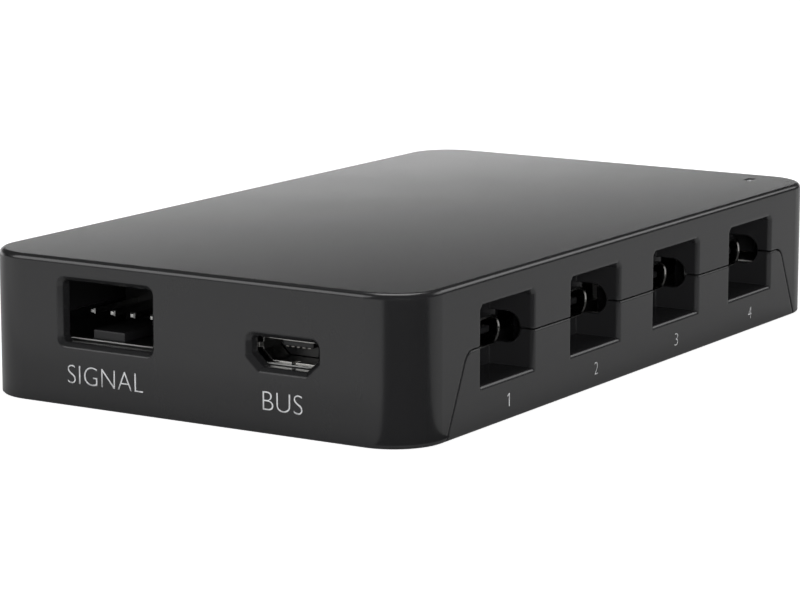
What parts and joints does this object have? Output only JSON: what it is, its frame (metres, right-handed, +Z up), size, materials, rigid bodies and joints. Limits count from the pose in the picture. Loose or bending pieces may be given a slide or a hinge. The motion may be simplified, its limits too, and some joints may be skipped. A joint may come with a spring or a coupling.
{
  "type": "pc fan controller hub",
  "caption": "Flat black moulded hub with rounded corners: numbered fan sockets in deep pockets along one side, a pin header and a small data socket in front.",
  "frame": {"origin": "middle of the base, on the surface that the hub lies on", "axes": "+X towards the side with the fan sockets, -Y towards the front with the fan header and the data socket, +Z up"},
  "size_m": [0.0534, 0.0914, 0.0154],
  "materials": {
    "case_plastic": "fine satin texture",
    "board_laminate": "black solder mask",
    "socket_steel": "nickel plated",
    "connector_plastic": "moulded",
    "contact_plating": "palladium nickel flash",
    "pin_tin": "tin plated",
    "clear_plastic": "milky clear",
    "led_resin": "clear resin",
    "package_resin": "moulded resin",
    "ceramic": "fired ceramic",
    "print_ink": "pad printed"
  },
  "bodies": {
    "root": {"top_cover": "case_plastic", "bottom_cover": "case_plastic", "circuit_board": "board_laminate", "fan_socket_1_shell": "socket_steel", "fan_socket_1_insert": "connector_plastic", "fan_socket_1_contacts": "contact_plating", "fan_socket_2_shell": "socket_steel", "fan_socket_2_insert": "connector_plastic", "fan_socket_2_contacts": "contact_plating", "fan_socket_3_shell": "socket_steel", "fan_socket_3_insert": "connector_plastic", "fan_socket_3_contacts": "contact_plating", "fan_socket_4_shell": "socket_steel", "fan_socket_4_insert": "connector_plastic", "fan_socket_4_contacts": "contact_plating", "data_socket_shell": "socket_steel", "data_socket_insert": "connector_plastic", "data_socket_plate": "socket_steel", "data_socket_contacts": "contact_plating", "fan_header_housing": "connector_plastic", "fan_header_pins": "pin_tin", "light_pipe": "clear_plastic", "status_led": "led_resin", "controller_chip": "package_resin", "crystal": "socket_steel", "fan_drivers": "package_resin", "regulator_chip": "package_resin", "power_inductor": "package_resin", "bulk_capacitors": "package_resin", "ceramic_capacitors": "ceramic"}
  },
  "joints": []
}
